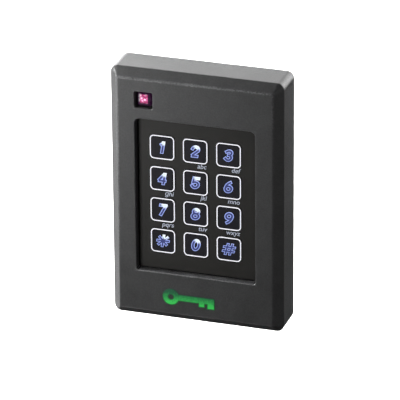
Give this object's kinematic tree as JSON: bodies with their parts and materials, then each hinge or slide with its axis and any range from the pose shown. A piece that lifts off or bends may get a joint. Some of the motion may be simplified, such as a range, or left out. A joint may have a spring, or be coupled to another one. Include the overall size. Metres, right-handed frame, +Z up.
{
  "type": "keypad access reader",
  "caption": "Wall-mounted access reader: bevelled dark cover, recessed telephone-style keypad with travelling backlit keys, a status light, loop antenna and boards behind.",
  "frame": {"origin": "centre of the back of the wall plate, on the wall", "axes": "+Z up, front faces -Y, +Y into the wall, +X to the right seen from the front"},
  "size_m": [0.084, 0.0206, 0.126],
  "materials": {
    "cover_plastic": "fine matte texture",
    "badge_green": "satin",
    "panel_plastic": "satin",
    "key_plastic": "satin",
    "seal_rubber": "matte",
    "silicone": "satin",
    "circuit_board": "gloss",
    "contact_gold": "gloss",
    "led_white": "gloss",
    "light_pipe_pink": "gloss",
    "black_plastic": "satin",
    "former_plastic": "satin",
    "copper_wire": "gloss",
    "chip_plastic": "matte",
    "tin_can": "satin",
    "terminal_plastic": "satin",
    "zinc_steel": "satin",
    "rear_plastic": "matte",
    "plate_plastic": "matte",
    "brass": "satin",
    "stainless_steel": "satin"
  },
  "bodies": {
    "housing": {"front_cover": "cover_plastic", "badge": "badge_green", "keypad_panel": "panel_plastic", "window_gasket": "seal_rubber", "keypad_mat": "silicone", "dome_1": "silicone", "dome_2": "silicone", "dome_3": "silicone", "dome_4": "silicone", "dome_5": "silicone", "dome_6": "silicone", "dome_7": "silicone", "dome_8": "silicone", "dome_9": "silicone", "dome_star": "silicone", "dome_0": "silicone", "dome_hash": "silicone", "keypad_board": "circuit_board", "contact_pads": "contact_gold", "backlight_leds": "led_white", "status_led": "led_white", "light_pipe": "light_pipe_pink", "light_bezel": "black_plastic", "antenna_former": "former_plastic", "antenna_coil": "copper_wire", "board_header": "black_plastic", "board_socket": "black_plastic", "main_board": "circuit_board", "board_screws": "zinc_steel", "microcontroller": "chip_plastic", "reader_chip": "chip_plastic", "crystal": "tin_can", "chip_resistors": "chip_plastic", "capacitors": "tin_can", "buzzer": "black_plastic", "tamper_sensor": "black_plastic", "terminal_block": "terminal_plastic", "terminal_screws": "zinc_steel", "rear_shell": "rear_plastic", "case_screws": "zinc_steel", "mounting_plate": "plate_plastic", "cable_grommet": "seal_rubber", "screw_insert": "brass", "cover_screw": "stainless_steel"},
    "key_1": {"key_1": "key_plastic"},
    "key_2": {"key_2": "key_plastic"},
    "key_3": {"key_3": "key_plastic"},
    "key_4": {"key_4": "key_plastic"},
    "key_5": {"key_5": "key_plastic"},
    "key_6": {"key_6": "key_plastic"},
    "key_7": {"key_7": "key_plastic"},
    "key_8": {"key_8": "key_plastic"},
    "key_9": {"key_9": "key_plastic"},
    "key_star": {"key_star": "key_plastic"},
    "key_0": {"key_0": "key_plastic"},
    "key_hash": {"key_hash": "key_plastic"}
  },
  "joints": [
    {"name": "key_1_press", "type": "slide", "parent": "housing", "child": "key_1", "axis": [0, 1, 0], "range_m": [0, 0.0009], "stiffness_N_per_m": 1200, "springref_m": -0.0006, "deforming": ["dome_1"]},
    {"name": "key_2_press", "type": "slide", "parent": "housing", "child": "key_2", "axis": [0, 1, 0], "range_m": [0, 0.0009], "stiffness_N_per_m": 1200, "springref_m": -0.0006, "deforming": ["dome_2"]},
    {"name": "key_3_press", "type": "slide", "parent": "housing", "child": "key_3", "axis": [0, 1, 0], "range_m": [0, 0.0009], "stiffness_N_per_m": 1200, "springref_m": -0.0006, "deforming": ["dome_3"]},
    {"name": "key_4_press", "type": "slide", "parent": "housing", "child": "key_4", "axis": [0, 1, 0], "range_m": [0, 0.0009], "stiffness_N_per_m": 1200, "springref_m": -0.0006, "deforming": ["dome_4"]},
    {"name": "key_5_press", "type": "slide", "parent": "housing", "child": "key_5", "axis": [0, 1, 0], "range_m": [0, 0.0009], "stiffness_N_per_m": 1200, "springref_m": -0.0006, "deforming": ["dome_5"]},
    {"name": "key_6_press", "type": "slide", "parent": "housing", "child": "key_6", "axis": [0, 1, 0], "range_m": [0, 0.0009], "stiffness_N_per_m": 1200, "springref_m": -0.0006, "deforming": ["dome_6"]},
    {"name": "key_7_press", "type": "slide", "parent": "housing", "child": "key_7", "axis": [0, 1, 0], "range_m": [0, 0.0009], "stiffness_N_per_m": 1200, "springref_m": -0.0006, "deforming": ["dome_7"]},
    {"name": "key_8_press", "type": "slide", "parent": "housing", "child": "key_8", "axis": [0, 1, 0], "range_m": [0, 0.0009], "stiffness_N_per_m": 1200, "springref_m": -0.0006, "deforming": ["dome_8"]},
    {"name": "key_9_press", "type": "slide", "parent": "housing", "child": "key_9", "axis": [0, 1, 0], "range_m": [0, 0.0009], "stiffness_N_per_m": 1200, "springref_m": -0.0006, "deforming": ["dome_9"]},
    {"name": "key_star_press", "type": "slide", "parent": "housing", "child": "key_star", "axis": [0, 1, 0], "range_m": [0, 0.0009], "stiffness_N_per_m": 1200, "springref_m": -0.0006, "deforming": ["dome_star"]},
    {"name": "key_0_press", "type": "slide", "parent": "housing", "child": "key_0", "axis": [0, 1, 0], "range_m": [0, 0.0009], "stiffness_N_per_m": 1200, "springref_m": -0.0006, "deforming": ["dome_0"]},
    {"name": "key_hash_press", "type": "slide", "parent": "housing", "child": "key_hash", "axis": [0, 1, 0], "range_m": [0, 0.0009], "stiffness_N_per_m": 1200, "springref_m": -0.0006, "deforming": ["dome_hash"]}
  ]
}
